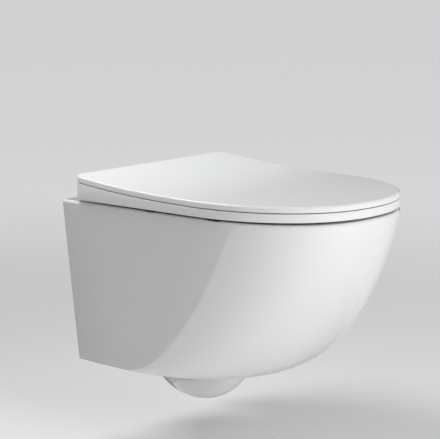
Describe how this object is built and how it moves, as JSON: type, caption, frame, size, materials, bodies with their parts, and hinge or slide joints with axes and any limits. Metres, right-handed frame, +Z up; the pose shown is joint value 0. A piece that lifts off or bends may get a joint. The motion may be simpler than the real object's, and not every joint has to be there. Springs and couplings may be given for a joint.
{
  "type": "wall hung toilet",
  "caption": "Compact wall hung toilet with a rounded front, a hidden trap and a slim soft-close seat and lid on quick-release hinges.",
  "frame": {"origin": "on the wall plane, midway between the two wall bolts", "axes": "+Z up, the wall is the plane Y = 0 and the pan reaches forward along -Y, X across with X = 0 the plane of symmetry"},
  "size_m": [0.36, 0.479, 0.375],
  "materials": {
    "glaze": "gloss",
    "seat_plastic": "gloss",
    "hinge_plastic": "satin",
    "black_rubber": "matte",
    "clear_rubber": "satin",
    "chrome": "polished",
    "chrome_button": "gloss",
    "steel": "satin",
    "brass": "satin",
    "damper_plastic": "matte",
    "nylon": "satin"
  },
  "bodies": {
    "bowl_and_fixings": {"pan_web": "glaze", "pan_deck": "glaze", "pan_rim": "glaze", "pan_skirt": "glaze", "pan_basin": "glaze", "pan_trapway": "glaze", "pan_flush_duct": "glaze", "hinge_gaskets": "black_rubber", "hinge_screws": "steel", "hinge_dowels": "black_rubber", "hinge_nuts": "brass", "hinge_post_left": "chrome", "hinge_post_right": "chrome", "wall_sleeves": "nylon", "wall_washers": "steel", "wall_nuts": "steel", "inlet_seal": "black_rubber"},
    "seat_carrier": {"hinge_block_left": "hinge_plastic", "hinge_block_right": "hinge_plastic", "release_clip_left": "steel", "release_clip_right": "steel", "lid_damper": "damper_plastic", "seat_damper": "damper_plastic", "seat_pivot_pin": "steel", "lid_pivot_pin": "steel"},
    "seat": {"seat_ring": "seat_plastic", "seat_buffers": "black_rubber", "seat_damper_shaft": "damper_plastic", "seat_bush_left": "nylon", "seat_bush_right": "nylon"},
    "lid": {"lid": "seat_plastic", "lid_buffers": "clear_rubber", "lid_damper_shaft": "damper_plastic", "lid_bush_left": "nylon", "lid_bush_right": "nylon"},
    "release_left": {"release_button_left": "chrome_button"},
    "release_right": {"release_button_right": "chrome_button"}
  },
  "joints": [
    {"name": "lift_off", "type": "slide", "parent": "bowl_and_fixings", "child": "seat_carrier", "axis": [0, 0, 1], "range_m": [0, 0.022], "deforming": ["release_clip_left", "release_clip_right"]},
    {"name": "seat_hinge", "type": "hinge", "parent": "seat_carrier", "child": "seat", "pos_m": [0, -0.038, 0.099], "axis": [-1, 0, 0], "range_deg": [0, 92]},
    {"name": "lid_hinge", "type": "hinge", "parent": "seat", "child": "lid", "pos_m": [0, -0.038, 0.099], "axis": [1, 0, 0], "range_deg": [-92, 0]},
    {"name": "release_left", "type": "slide", "parent": "seat_carrier", "child": "release_left", "axis": [0, 1, 0], "range_m": [0, 0.002], "stiffness_N_per_m": 900, "springref_m": -0.002},
    {"name": "release_right", "type": "slide", "parent": "seat_carrier", "child": "release_right", "axis": [0, 1, 0], "range_m": [0, 0.002], "stiffness_N_per_m": 900, "springref_m": -0.002}
  ]
}
